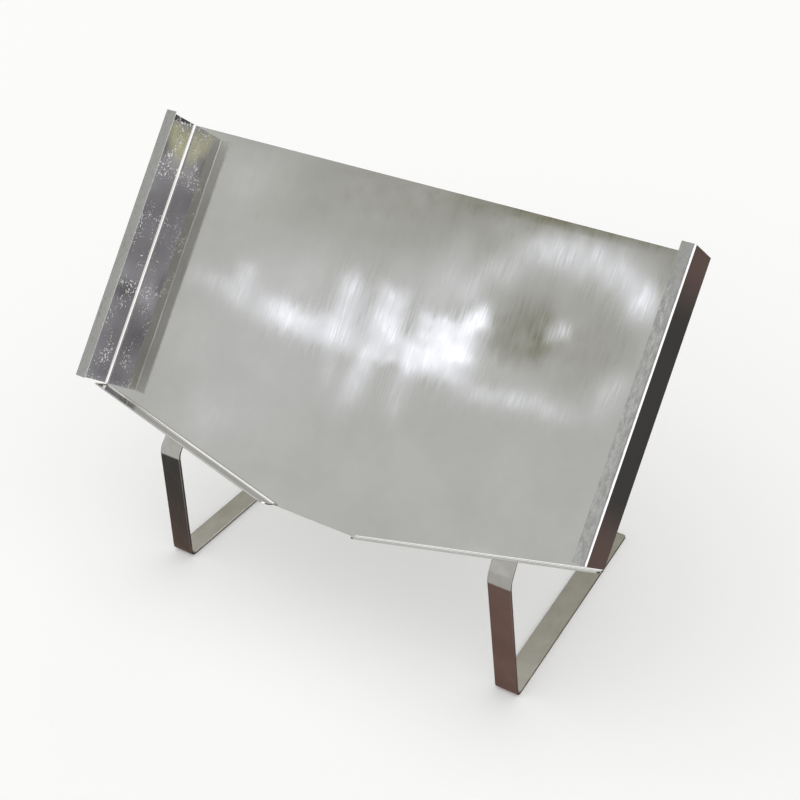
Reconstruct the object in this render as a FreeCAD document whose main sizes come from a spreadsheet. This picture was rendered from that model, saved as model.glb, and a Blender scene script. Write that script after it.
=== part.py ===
import FreeCAD, Part
import math
import os
import Sketcher

# A polished stainless steel chute: one folded sheet tray, tipped back on two bent flat-bar legs.
#
# Every piece is drawn in the tray's own frame and then placed as one: X runs across the tray,
# Y from the spout towards the back edge, Z square to the tray floor, with Z = 0 on the floor's
# underside and Y = 0 at the front ends of the side walls. The shared placement tips that frame
# back by tray_tilt about X and lifts it so that the legs' soles lie on Z = 0 of the part's frame.

DIMENSIONS = [
    # alias, value in millimetres or degrees, what it is
    ("tray_width", 600.0, "over the outer faces of the side walls"),
    ("wall_length", 296.0, "side wall, front end to back edge"),
    ("wall_height", 55.0, "side wall, floor underside to top of its lip"),
    ("wall_lip", 13.5, "lip folded inwards, outer wall face to lip edge"),
    ("sheet_gauge", 1.5, "sheet thickness of the tray"),
    ("fold_radius", 3.0, "inside radius of the folds between floor and walls"),
    ("lip_fold_radius", 1.5, "inside radius of the wall lips' and low lips' folds"),
    ("spout_width", 100.0, "plain front edge between the two tapers"),
    ("spout_reach", 56.0, "front edge ahead of the wall ends"),
    ("spout_lip", 19.5, "height of the low lips along the tapers"),
    ("spout_lip_lean", 6.0, "degrees the low lips lean forwards"),
    ("spout_lip_corner", 12.0, "rounding of each low lip's end at the spout"),
    ("corner_gap", 2.2, "relief notch between wall end and low lip"),
    ("tray_tilt", 48.0, "degrees between the tray floor and the ground"),
    ("bar_width", 25.0, "flat bar of the legs"),
    ("bar_gauge", 3.0, "flat bar of the legs"),
    ("tab_bend_radius", 16.0, "inside radius, tab to upright"),
    ("foot_bend_radius", 5.0, "inside radius, upright to foot"),
    ("leg_height", 147.0, "ground to the corner where tab and upright meet"),
    ("tab_overhang", 45.0, "that corner, ahead of the wall ends"),
    ("tab_length", 95.0, "that corner to the tab's back end"),
    ("foot_length", 266.0, "upright's front face to the foot's free end"),
    ("foot_corner", 3.0, "rounding of the foot's free corners"),
    ("left_leg_inset", 107.5, "outer wall face to the left leg's middle"),
    ("right_leg_inset", 94.0, "outer wall face to the right leg's middle"),
    ("toe_in", 3.7, "degrees each leg turns in towards its back end"),
    ("weld_size", 3.0, "leg length of the fillet welds"),
    ("weld_length", 52.0, "length of each weld bead"),
    ("weld_end_gap", 8.0, "bead stops short of the tab's back end"),
    ("origin_shift", 0.0, "front face of the uprights along Y, set once the box is known"),
]

DERIVED = [
    ("outer_radius", "=fold_radius + sheet_gauge"),
    ("lip_outer_radius", "=lip_fold_radius + sheet_gauge"),
    ("taper_run", "=(tray_width - spout_width) / 2"),
    ("taper_angle", "=atan((spout_reach - corner_gap) / taper_run)"),
    ("taper_length", "=sqrt(pow(taper_run; 2) + pow(spout_reach - corner_gap; 2))"),
    ("spout_bend", "=90 - spout_lip_lean"),
    ("spout_setback", "=lip_outer_radius * tan(spout_bend / 2)"),
    ("blank_reach", "=leg_height + foot_length + tab_length"),
    ("blank_width", "=bar_width + 2 * blank_reach * tan(toe_in)"),
    ("weld_start", "=tab_length - weld_end_gap"),
]

LEFT = -1
RIGHT = 1

ROUGH = 10.0         # millimetres, a first size that a sketch's own dimensions then replace
ANY_TURN = 1.0       # degrees, keeps a rotation's axis until its expression sets the angle
LEAST_CUT = 0.001    # cubic millimetres, less than this taken away means a cut missed

doc = FreeCAD.newDocument("chute")


# ---------------------------------------------------------------- driving dimensions

def make_sheet():
    """Write every dimension into one spreadsheet, each under its own alias."""
    sheet = doc.addObject("Spreadsheet::Sheet", "sizes")
    row = 1
    for alias, value, meaning in DIMENSIONS:
        sheet.set("A%d" % row, meaning)
        sheet.set("B%d" % row, str(value))
        sheet.setAlias("B%d" % row, alias)
        row += 1
    doc.recompute()
    for alias, formula in DERIVED:
        sheet.set("B%d" % row, formula)
        sheet.setAlias("B%d" % row, alias)
        doc.recompute()
        row += 1
    return sheet


sizes = make_sheet()


def size(alias):
    """Present value of one named dimension, as a plain number."""
    value = sizes.get(alias)
    return float(getattr(value, "Value", value))


# ---------------------------------------------------------------- drawing helpers

def bind(thing, path, expression):
    """Tie one property of a document object to an expression on the sheet's aliases."""
    for alias, *_ in DIMENSIONS + DERIVED:
        expression = replace_word(expression, alias, "sizes." + alias)
    thing.setExpression(path, expression)


def replace_word(text, word, new_word):
    """Replace a whole word, leaving longer names that contain it alone."""
    out = ""
    rest = text
    while word in rest:
        at = rest.index(word)
        before = rest[at - 1] if at else " "
        after = rest[at + len(word)] if at + len(word) < len(rest) else " "
        whole = not (before.isalnum() or before in "_.") and not (after.isalnum() or after == "_")
        out += rest[:at] + (new_word if whole else word)
        rest = rest[at + len(word):]
    return out + rest


def check():
    """Stop at once where the document holds a failed object."""
    for item in doc.Objects:
        if "Invalid" in item.State or "Error" in item.State:
            raise RuntimeError(item.Name + " failed: " + item.getStatusString())


def new_body(label):
    body = doc.addObject("PartDesign::Body", label)
    body.Label = label
    return body


def new_sketch(body, name, role, shift=("0", "0", "0"), turn=None):
    """A sketch on one of the body's own origin planes.

    shift is in the sketch's own axes. turn is (axis, angle expression) about the shifted origin.
    """
    plane = [item for item in body.Origin.OriginFeatures if item.Role == role][0]
    sketch = body.newObject("Sketcher::SketchObject", name)
    sketch.AttachmentSupport = [(plane, "")]
    sketch.MapMode = "FlatFace"
    if turn:
        axis, angle = turn
        rotation = FreeCAD.Rotation(axis, ANY_TURN)
        sketch.AttachmentOffset = FreeCAD.Placement(FreeCAD.Vector(), rotation)
        bind(sketch, "AttachmentOffset.Rotation.Angle", angle)
    for letter, expression in zip("xyz", shift):
        bind(sketch, "AttachmentOffset.Base." + letter, expression)
    return sketch


def point(x, y):
    return FreeCAD.Vector(x, y, 0)


def chain(sketch, points):
    """Join points into a closed outline and return the index of its first line."""
    first = sketch.GeometryCount
    count = len(points)
    for i in range(count):
        sketch.addGeometry(Part.LineSegment(point(*points[i]), point(*points[(i + 1) % count])), False)
    for i in range(count):
        rule(sketch, "Coincident", first + i, 2, first + (i + 1) % count, 1)
    return first


def rule(sketch, *args):
    """Add one geometric constraint."""
    sketch.addConstraint(Sketcher.Constraint(*args))


def dimension(sketch, name, expression, *args):
    """Add one dimension and tie it to the sheet."""
    index = sketch.addConstraint(Sketcher.Constraint(*args))
    sketch.renameConstraint(index, name)
    bind(sketch, "Constraints." + name, expression)


def rectangle(sketch, width, height, clear=None, side=1, bottom=None, name="box"):
    """A rectangle: width and height are expressions.

    clear holds its near edge off the upright axis, on the given side, and bottom holds it off the
    level axis. Without them it is centred on that axis.
    """
    near, far = (ROUGH, 3 * ROUGH) if side > 0 else (-3 * ROUGH, -ROUGH)
    first = chain(sketch, [(near, ROUGH), (far, ROUGH), (far, 2 * ROUGH), (near, 2 * ROUGH)])
    low, end_edge, high, start_edge = first, first + 1, first + 2, first + 3
    rule(sketch, "Horizontal", high)
    rule(sketch, "Vertical", start_edge)
    dimension(sketch, name + "_width", width, "DistanceX", low, 1, low, 2, 2 * ROUGH)
    dimension(sketch, name + "_height", height, "DistanceY", end_edge, 1, end_edge, 2, ROUGH)
    if clear is None:
        rule(sketch, "Symmetric", low, 1, low, 2, -2)
    else:
        rule(sketch, "Horizontal", low)
        ends = (-1, 1, low, 1) if side > 0 else (low, 2, -1, 1)
        dimension(sketch, name + "_clear", clear, "DistanceX", *ends, ROUGH)
    if bottom is None:
        rule(sketch, "Symmetric", end_edge, 1, end_edge, 2, -1)
    else:
        rule(sketch, "Vertical", end_edge)
        dimension(sketch, name + "_bottom", bottom, "DistanceY", -1, 1, low, 1, ROUGH)


def pad(body, sketch, name, length, reverse=False, both_ways=False):
    feature = body.newObject("PartDesign::Pad", name)
    feature.Profile = sketch
    feature.Reversed = reverse
    feature.Midplane = both_ways
    bind(feature, "Length", length)
    sketch.Visibility = False
    return feature


def pocket(body, sketch, name, length, reverse=False, both_ways=False):
    """Cut a pocket and check that it really took something away."""
    doc.recompute()
    check()
    before = body.Shape.Volume
    feature = body.newObject("PartDesign::Pocket", name)
    feature.Profile = sketch
    feature.Reversed = reverse
    feature.Midplane = both_ways
    bind(feature, "Length", length)
    doc.recompute()
    if body.Shape.Volume >= before - LEAST_CUT:
        raise RuntimeError(name + " cut nothing")
    return feature


def fillet(body, name, radius, targets):
    """Round the edges whose middles lie nearest the target points, in the body's own frame."""
    doc.recompute()
    check()
    base = body.Tip
    names = []
    for target in targets:
        edges = base.Shape.Edges
        gaps = [(edge.CenterOfMass - target).Length for edge in edges]
        names.append("Edge%d" % (gaps.index(min(gaps)) + 1))
    feature = body.newObject("PartDesign::Fillet", name)
    feature.Base = (base, sorted(set(names)))
    bind(feature, "Radius", radius)
    doc.recompute()
    return feature


def place(body):
    """Tip a finished piece back with the tray and stand it on its legs."""
    rotation = FreeCAD.Rotation(FreeCAD.Vector(1, 0, 0), ANY_TURN)
    body.Placement = FreeCAD.Placement(FreeCAD.Vector(), rotation)
    bind(body, "Placement.Rotation.Angle", "tray_tilt")
    bind(body, "Placement.Base.y", "origin_shift + tab_overhang * cos(tray_tilt)")
    bind(body, "Placement.Base.z", "leg_height + tab_overhang * sin(tray_tilt)")


# ---------------------------------------------------------------- the tray

def make_tray():
    """One folded sheet: floor, side walls with inward lips, tapered spout with low lips."""
    body = new_body("tray")
    add_channel(body)
    add_spout_floor(body)
    for side in (LEFT, RIGHT):
        add_spout_lip(body, side)
    round_spout_lips(body)
    place(body)
    return body


def add_channel(body):
    """The long folds: a shallow channel whose walls turn in again at the top."""
    block = new_sketch(body, "channel_section", "XZ_Plane")
    rectangle(block, "tray_width", "wall_height", bottom="0")
    pad(body, block, "channel_block", "wall_length", reverse=True)

    inside = new_sketch(body, "inside_section", "XZ_Plane")
    rectangle(inside, "tray_width - 2 * sheet_gauge", "wall_height - 2 * sheet_gauge",
              bottom="sheet_gauge")
    pocket(body, inside, "channel_inside", "wall_length", reverse=False)

    mouth = new_sketch(body, "mouth_section", "XZ_Plane")
    rectangle(mouth, "tray_width - 2 * wall_lip", "wall_height", bottom="wall_height / 2")
    pocket(body, mouth, "channel_mouth", "wall_length", reverse=False)

    half = size("tray_width") / 2
    gauge = size("sheet_gauge")
    middle = size("wall_length") / 2
    top = size("wall_height")
    for name, radius, inside, outside in (
            ("floor", "fold_radius", gauge, 0.0),
            ("lip", "lip_fold_radius", top - gauge, top)):
        inner = [FreeCAD.Vector(side * (half - gauge), middle, inside) for side in (LEFT, RIGHT)]
        outer = [FreeCAD.Vector(side * half, middle, outside) for side in (LEFT, RIGHT)]
        fillet(body, name + "_folds_inside", radius, inner)
        fillet(body, name + "_folds_outside", radius + " + sheet_gauge", outer)


def add_spout_floor(body):
    """The flat floor ahead of the walls, up to where the low lips start to bend up."""
    sketch = new_sketch(body, "spout_outline", "XY_Plane")
    run = size("taper_run")
    corner = size("spout_width") / 2
    reach = size("spout_reach")
    back = size("spout_setback")
    angle = math.radians(size("taper_angle"))
    wall = corner + run - size("outer_radius")
    bend = (corner - back * math.sin(angle), -reach + back * math.cos(angle))
    side = (wall, bend[1] + (wall - bend[0]) * math.tan(angle))
    right = [(wall, 0), side, bend, (corner, -reach)]
    left = [(-x, y) for x, y in reversed(right)]
    chain(sketch, right + left)
    wall_right, taper_right, end_right, front, end_left, taper_left, wall_left, back_line = range(8)
    for line in (wall_right, wall_left):
        rule(sketch, "Vertical", line)
    rule(sketch, "PointOnObject", back_line, 1, -1)
    rule(sketch, "PointOnObject", back_line, 2, -1)
    rule(sketch, "Symmetric", front, 1, front, 2, -2)
    rule(sketch, "Symmetric", taper_right, 2, end_left, 2, -2)
    rule(sketch, "Symmetric", taper_right, 1, wall_left, 1, -2)
    rule(sketch, "Perpendicular", taper_right, end_right)
    dimension(sketch, "front_edge", "spout_width", "DistanceX", front, 2, front, 1, 2 * corner)
    dimension(sketch, "reach", "spout_reach", "DistanceY", front, 1, -1, 1, reach)
    dimension(sketch, "setback", "spout_setback", "Distance", end_right, back)
    dimension(sketch, "wall_line", "tray_width / 2 - outer_radius", "DistanceX", -1, 1, wall_right, 1,
              wall)
    dimension(sketch, "taper", "taper_angle", "Angle", -1, 1, taper_right, 2, angle)
    pad(body, sketch, "spout_floor", "sheet_gauge")


def add_spout_lip(body, side):
    """A low lip folded up along one taper, drawn square to the taper and run along it."""
    name = "left" if side == LEFT else "right"
    corner = "%d * spout_width / 2" % side
    sketch = new_sketch(body, name + "_lip_section", "YZ_Plane", ("-spout_reach", "0", corner),
                        (FreeCAD.Vector(0, 1, 0), "%d * taper_angle" % side))
    back = size("spout_setback")
    inner = size("lip_fold_radius")
    outer = size("lip_outer_radius")
    gauge = size("sheet_gauge")
    bend = math.radians(size("spout_bend"))
    high = size("spout_lip")
    centre = (back, outer)
    up = (-math.cos(bend), math.sin(bend))
    across = (math.sin(bend), math.cos(bend))
    outer_end = (centre[0] - outer * across[0], centre[1] - outer * across[1])
    inner_end = (centre[0] - inner * across[0], centre[1] - inner * across[1])
    rise = (high - outer_end[1]) / up[1]
    outer_top = (outer_end[0] + rise * up[0], high)
    inner_top = (outer_top[0] + gauge * across[0], outer_top[1] + gauge * across[1])

    down = -math.pi / 2
    floor_end = Part.LineSegment(point(back, gauge), point(back, 0))
    outer_arc = Part.ArcOfCircle(Part.Circle(point(*centre), FreeCAD.Vector(0, 0, 1), outer),
                                 down - bend, down)
    outer_line = Part.LineSegment(point(*outer_end), point(*outer_top))
    top_line = Part.LineSegment(point(*outer_top), point(*inner_top))
    inner_line = Part.LineSegment(point(*inner_top), point(*inner_end))
    inner_arc = Part.ArcOfCircle(Part.Circle(point(*centre), FreeCAD.Vector(0, 0, 1), inner),
                                 down - bend, down)
    for item in (floor_end, outer_arc, outer_line, top_line, inner_line, inner_arc):
        sketch.addGeometry(item, False)
    rule(sketch, "Coincident", 0, 2, 1, 2)
    rule(sketch, "Tangent", 1, 1, 2, 1)
    rule(sketch, "Coincident", 2, 2, 3, 1)
    rule(sketch, "Coincident", 3, 2, 4, 1)
    rule(sketch, "Tangent", 4, 2, 5, 1)
    rule(sketch, "Coincident", 5, 2, 0, 1)
    rule(sketch, "Coincident", 1, 3, 5, 3)
    rule(sketch, "Vertical", 0)
    rule(sketch, "Vertical", 1, 3, 1, 2)
    rule(sketch, "Perpendicular", 2, 3)
    rule(sketch, "PointOnObject", 0, 2, -1)
    dimension(sketch, "setback", "spout_setback", "DistanceX", -1, 1, 0, 2, back)
    dimension(sketch, "gauge", "sheet_gauge", "Distance", 0, gauge)
    dimension(sketch, "inside", "lip_fold_radius", "Radius", 5, inner)
    dimension(sketch, "height", "spout_lip", "DistanceY", -1, 1, 2, 2, high)
    dimension(sketch, "lean", "90 + spout_lip_lean", "Angle", -1, 1, 2, 1, math.pi - bend)
    pad(body, sketch, name + "_lip", "taper_length - corner_gap / 2", reverse=(side == LEFT))


def round_spout_lips(body):
    """Round the upper corner of each low lip where it ends at the spout."""
    bend = math.radians(size("spout_bend"))
    angle = math.radians(size("taper_angle"))
    rise = size("spout_lip") / math.sin(bend)
    forward = rise * math.cos(bend)
    targets = []
    for side in (LEFT, RIGHT):
        targets.append(FreeCAD.Vector(
            side * (size("spout_width") / 2 + forward * math.sin(angle)),
            -size("spout_reach") - forward * math.cos(angle) + size("sheet_gauge") / 2,
            size("spout_lip")))
    fillet(body, "lip_corners", "spout_lip_corner", targets)


# ---------------------------------------------------------------- the legs

def make_leg(side):
    """One flat bar: a tab under the tray floor, an upright, and a foot along the ground."""
    name = "left_leg" if side == LEFT else "right_leg"
    centre = "%d * (tray_width / 2 - %s_inset)" % (side, name)
    body = new_body(name)
    sketch = new_sketch(body, name + "_side_view", "YZ_Plane", ("-tab_overhang", "0", centre))
    outline = leg_outline()
    chain(sketch, outline)
    tab, upright, foot, foot_end, foot_top, upright_back, tab_under, tab_end = range(8)
    rule(sketch, "Coincident", tab, 2, -1, 1)
    rule(sketch, "Horizontal", tab)
    rule(sketch, "Horizontal", tab_under)
    rule(sketch, "Vertical", tab_end)
    rule(sketch, "Perpendicular", upright, foot)
    rule(sketch, "Perpendicular", foot, foot_end)
    rule(sketch, "Parallel", foot, foot_top)
    rule(sketch, "Parallel", upright, upright_back)
    dimension(sketch, "tab_run", "tab_length", "DistanceX", tab, 2, tab, 1, size("tab_length"))
    dimension(sketch, "height", "leg_height", "Distance", upright, size("leg_height"))
    dimension(sketch, "foot_run", "foot_length", "Distance", foot, size("foot_length"))
    dimension(sketch, "tab_gauge", "bar_gauge", "Distance", tab_end, size("bar_gauge"))
    dimension(sketch, "foot_gauge", "bar_gauge", "Distance", foot_end, size("bar_gauge"))
    dimension(sketch, "upright_gauge", "bar_gauge", "Distance", upright_back, 2, upright,
              size("bar_gauge"))
    slope = math.radians(size("tray_tilt"))
    dimension(sketch, "tilt", "tray_tilt", "Angle", foot, 1, -1, 1, slope)
    pad(body, sketch, name + "_blank", "blank_width", both_ways=True)

    across = side * (size("tray_width") / 2 - size(name + "_inset"))
    corners = [FreeCAD.Vector(across, y - size("tab_overhang"), z) for y, z in outline]
    fillet(body, name + "_tab_bend_outside", "tab_bend_radius + bar_gauge", [corners[1]])
    fillet(body, name + "_foot_bend_outside", "foot_bend_radius + bar_gauge", [corners[2]])
    fillet(body, name + "_foot_bend_inside", "foot_bend_radius", [corners[5]])
    fillet(body, name + "_tab_bend_inside", "tab_bend_radius", [corners[6]])

    waste = new_sketch(body, name + "_waste", "XY_Plane", (centre, "-tab_overhang", "0"),
                       (FreeCAD.Vector(0, 0, 1), "%d * toe_in" % side))
    for edge in (LEFT, RIGHT):
        rectangle(waste, "blank_width", "2 * blank_reach", clear="bar_width / 2", side=edge,
                  name="left_waste" if edge == LEFT else "right_waste")
    pocket(body, waste, name + "_sides", "2 * blank_reach", both_ways=True)
    round_foot_end(body, name, side)
    place(body)
    return body


def leg_outline():
    """Corners of the leg's side view from the tab's back end, round the outside and back inside.

    Measured from the corner where the tab meets the upright, along the tray floor and square to it.
    """
    tilt = math.radians(size("tray_tilt"))
    gauge = size("bar_gauge")
    down = (-math.sin(tilt), -math.cos(tilt))
    rear = (math.cos(tilt), -math.sin(tilt))

    def step(start, direction, length):
        return (start[0] + direction[0] * length, start[1] + direction[1] * length)

    tab_end = (size("tab_length"), 0.0)
    tab_corner = (0.0, 0.0)
    foot_corner = step(tab_corner, down, size("leg_height"))
    foot_end = step(foot_corner, rear, size("foot_length"))
    foot_end_top = step(foot_end, down, -gauge)
    foot_inside = step(step(foot_corner, rear, gauge), down, -gauge)
    tab_inside = (gauge / math.cos(tilt) - gauge * math.tan(tilt), -gauge)
    tab_end_under = (size("tab_length"), -gauge)
    return [tab_end, tab_corner, foot_corner, foot_end,
            foot_end_top, foot_inside, tab_inside, tab_end_under]


def round_foot_end(body, name, side):
    """Round the two upright corners at the foot's free end."""
    tilt = math.radians(size("tray_tilt"))
    toe = side * math.radians(size("toe_in"))
    half_gauge = size("bar_gauge") / 2
    end = leg_outline()[3]
    y = end[0] + half_gauge * math.sin(tilt)
    z = end[1] + half_gauge * math.cos(tilt)
    across = side * (size("tray_width") / 2 - size(name + "_inset"))
    targets = []
    for edge in (LEFT, RIGHT):
        x = across - y * math.tan(toe) + edge * size("bar_width") / 2 / math.cos(toe)
        targets.append(FreeCAD.Vector(x, y - size("tab_overhang"), z))
    fillet(body, name + "_foot_end", "foot_corner", targets)


# ---------------------------------------------------------------- the welds

def make_weld(side, edge):
    """A fillet bead under the floor, along one edge of a leg's tab."""
    leg = "left_leg" if side == LEFT else "right_leg"
    name = leg + ("_outer_weld" if edge == side else "_inner_weld")
    turn = "%d * toe_in" % side
    centre = "%d * (tray_width / 2 - %s_inset)" % (side, leg)
    body = new_body(name)
    shift = (centre + " - weld_start * sin(%s)" % turn, "0",
             "tab_overhang - weld_start * cos(%s)" % turn)
    sketch = new_sketch(body, name + "_section", "XZ_Plane", shift, (FreeCAD.Vector(0, 1, 0), turn))
    half = size("bar_width") / 2
    leg_size = size("weld_size")
    root = (edge * half, 0.0)
    toe = (edge * (half + leg_size), 0.0)
    foot = (edge * half, -leg_size)
    chain(sketch, [root, toe, foot])
    rule(sketch, "PointOnObject", 0, 1, -1)
    rule(sketch, "PointOnObject", 0, 2, -1)
    rule(sketch, "Vertical", 2)
    dimension(sketch, "throat_side", "weld_size", "Distance", 0, leg_size)
    dimension(sketch, "tab_side", "weld_size", "Distance", 2, leg_size)
    ends = (-1, 1, 0, 1) if edge > 0 else (0, 1, -1, 1)
    dimension(sketch, "tab_edge", "bar_width / 2", "DistanceX", *ends, half)
    pad(body, sketch, name + "_bead", "weld_length")
    place(body)
    return body


# ---------------------------------------------------------------- build, check and write

pieces = [make_tray()]
for leg_side in (LEFT, RIGHT):
    pieces.append(make_leg(leg_side))
    for weld_edge in (LEFT, RIGHT):
        pieces.append(make_weld(leg_side, weld_edge))
doc.recompute()

whole = FreeCAD.BoundBox()
for piece in pieces:
    whole.add(piece.Shape.optimalBoundingBox(False))
sizes.set(sizes.getCellFromAlias("origin_shift"), str(-whole.Center.y))
doc.recompute()

check()
for piece in pieces:
    if piece.Shape.isNull() or not piece.Shape.isValid() or not piece.Shape.Solids:
        raise RuntimeError(piece.Label + " is not a sound solid")

os.makedirs("parts", exist_ok=True)
for piece in pieces:
    piece.Shape.exportStep("parts/" + piece.Label + ".step")
    box = piece.Shape.optimalBoundingBox(False)
    print("%-24s solids %d  volume %10.1f  X %7.1f %7.1f  Y %7.1f %7.1f  Z %7.1f %7.1f" % (
        piece.Label, len(piece.Shape.Solids), piece.Shape.Volume,
        box.XMin, box.XMax, box.YMin, box.YMax, box.ZMin, box.ZMax))
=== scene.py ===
"""Bench-top discharge chute in polished stainless steel: finished surfaces and a plain studio.

One mirror-finished sheet is folded into a shallow tray with inward lips and a tapered spout. It
leans back on two bent flat bars, each held by two short weld beads under the tray floor.
Everything is in metres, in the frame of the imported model: +Z up, +X across the tray.
"""

import math

import bmesh
import bpy
from bpy.props import FloatProperty, FloatVectorProperty, PointerProperty
from mathutils import Matrix, Vector


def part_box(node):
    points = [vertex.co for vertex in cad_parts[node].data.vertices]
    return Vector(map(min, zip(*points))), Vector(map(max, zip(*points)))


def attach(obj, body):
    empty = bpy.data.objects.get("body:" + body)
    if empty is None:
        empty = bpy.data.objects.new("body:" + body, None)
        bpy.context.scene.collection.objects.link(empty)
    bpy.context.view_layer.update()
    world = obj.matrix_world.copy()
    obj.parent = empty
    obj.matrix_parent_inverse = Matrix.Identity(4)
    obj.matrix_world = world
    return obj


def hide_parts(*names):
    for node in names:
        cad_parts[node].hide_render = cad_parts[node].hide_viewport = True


bl_info = {
    "name": "Steel Discharge Chute",
    "version": (1, 0, 0),
    "blender": (4, 5, 0),
    "location": "View3D > Sidebar > Chute",
    "description": "Builds a folded stainless steel chute on two bent flat-bar legs",
    "category": "Add Mesh",
}

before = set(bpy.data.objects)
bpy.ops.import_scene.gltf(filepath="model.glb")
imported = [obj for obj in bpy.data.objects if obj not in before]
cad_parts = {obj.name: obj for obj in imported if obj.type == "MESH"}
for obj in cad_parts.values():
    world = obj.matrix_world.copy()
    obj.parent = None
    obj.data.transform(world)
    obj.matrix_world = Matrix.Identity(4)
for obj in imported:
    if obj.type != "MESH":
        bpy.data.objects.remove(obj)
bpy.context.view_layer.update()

BODY = "root"
LEFT = -1
RIGHT = 1
UP = Vector((0, 0, 1))
MM = 0.001
BRIGHT = (1.6, 1.6, 1.62)        # window light, brighter than white paper
TINY = 1e-5                      # metres, two coordinates nearer than this are the same
SHARP = math.radians(50)         # a fold's facets meet more gently than this, cut edges don't
FLAT_WEIGHT = 50                 # how far large faces steer the shading normals


def hex_colour(text):
    """An sRGB hex value, such as C8C6C1, as linear red, green and blue."""
    parts = [int(text[i:i + 2], 16) / 255 for i in (0, 2, 4)]
    return tuple(p / 12.92 if p <= 0.04045 else ((p + 0.055) / 1.055) ** 2.4 for p in parts)


def length(name, description, default):
    return FloatProperty(name=name, description=description, default=default, min=0.0,
                         unit="LENGTH", subtype="DISTANCE", precision=4)


def angle(name, description, degrees):
    return FloatProperty(name=name, description=description, default=math.radians(degrees),
                         unit="ROTATION", subtype="ANGLE")


def colour(name, description, text):
    return FloatVectorProperty(name=name, description=description, default=hex_colour(text),
                               size=3, min=0.0, max=1.0, subtype="COLOR")


# ---------------------------------------------------------------- what a user would change

class ChuteSizes(bpy.types.PropertyGroup):
    """Sizes of the folded tray, its legs and its welds; the tray's width comes from the frame."""

    wall_length: length("Wall length", "Side wall, front end to back edge", 0.296)
    wall_height: length("Wall height", "Floor underside to the top of the lips", 0.055)
    wall_lip: length("Wall lip", "Outer wall face to the edge of the inward lip", 0.0135)
    sheet_gauge: length("Sheet gauge", "Thickness of the tray's sheet", 0.0015)
    fold_radius: length("Fold radius", "Inside radius between floor and walls", 0.003)
    lip_fold: length("Lip fold radius", "Inside radius of the lips' folds", 0.0015)
    spout_width: length("Spout width", "Plain front edge between the two tapers", 0.100)
    spout_reach: length("Spout reach", "Front edge ahead of the wall ends", 0.056)
    spout_lip: length("Spout lip", "Height of the low lips along the tapers", 0.0195)
    spout_lean: angle("Spout lip lean", "How far the low lips lean forwards", 6.0)
    spout_corner: length("Spout lip corner", "Rounding of each low lip's end", 0.012)
    corner_gap: length("Corner gap", "Relief notch between wall and low lip", 0.0022)
    sheet_edge: length("Sheet edge", "Rounding left on the sheet's cut edges", 0.0005)
    waviness: length("Waviness", "Height of the slow waves in the tray floor", 0.00005)
    tray_tilt: angle("Tray tilt", "Angle between tray floor and ground", 48.0)

    bar_width: length("Bar width", "Width of the legs' flat bar", 0.025)
    bar_gauge: length("Bar gauge", "Thickness of the legs' flat bar", 0.003)
    bar_edge: length("Bar edge", "Rounding along the flat bar's edges", 0.0005)
    tab_bend: length("Tab bend", "Inside radius between tab and upright", 0.016)
    foot_bend: length("Foot bend", "Inside radius between upright and foot", 0.005)
    leg_height: length("Leg height", "Ground to the corner of tab and upright", 0.147)
    tab_overhang: length("Tab overhang", "That corner, ahead of the wall ends", 0.045)
    tab_length: length("Tab length", "That corner to the tab's back end", 0.095)
    foot_length: length("Foot length", "Upright's front face to the free end", 0.266)
    foot_corner: length("Foot corner", "Rounding of the foot's free corners", 0.003)
    left_inset: length("Left leg inset", "Outer wall face to the left leg's middle", 0.1075)
    right_inset: length("Right leg inset", "Outer wall face to the right leg's middle", 0.094)
    toe_in: angle("Toe-in", "How far each leg turns in towards its back end", 3.7)

    weld_size: length("Weld size", "Leg length of the fillet welds", 0.003)
    weld_length: length("Weld length", "Length of each bead", 0.052)
    weld_end_gap: length("Weld end gap", "Bead stops short of the tab's end", 0.008)
    weld_ripple: length("Weld ripple", "Spacing of the ripples along a bead", 0.0013)


class ChuteFinish(bpy.types.PropertyGroup):
    """Colours and surface pattern sizes of the metal."""

    sheet_light: colour("Sheet, clear", "Mirror sheet where it is cleanly buffed", "DDDCD9")
    sheet_dull: colour("Sheet, hazed", "Mirror sheet under a trace of polishing haze", "D5D4D1")
    bar_light: colour("Bar, clear", "Flat bar where it is cleanly buffed", "D3D1CC")
    bar_dull: colour("Bar, hazed", "Flat bar under polishing haze", "BDB9B2")
    dust: colour("Dust", "Dried specks left on the walls", "F6F6F4")
    underside: colour("Lip underside", "Paler, unbuffed sheet under the wall lips", "FAFAF8")
    weld_straw: colour("Weld, straw", "Heat tint on the crest of a bead", "B79A63")
    weld_blue: colour("Weld, blue", "Heat tint at the toe of a bead", "6B7390")
    haze_patch: length("Haze patch", "Width of a patch of polishing haze", 0.070)
    lip_top: colour("Lip tops", "Rubbed patches on top of the wall lips", "AAAAA8")
    rub_patch: length("Rub patch", "Size of the rubbed patches on the wall lips", 0.0025)
    buff_width: length("Buffing width", "Spacing of the fine buffing lines", 0.0012)
    buff_length: length("Buffing length", "Length of the fine buffing lines", 0.030)
    speck_spacing: length("Speck spacing", "Spacing of the dried specks", 0.0036)
    tint_patch: length("Heat tint patch", "Size of the welds' heat tint patches", 0.008)
    brush_grit: length("Brush grit", "Spacing of the wire brush's marks on a bead", 0.0005)


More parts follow.
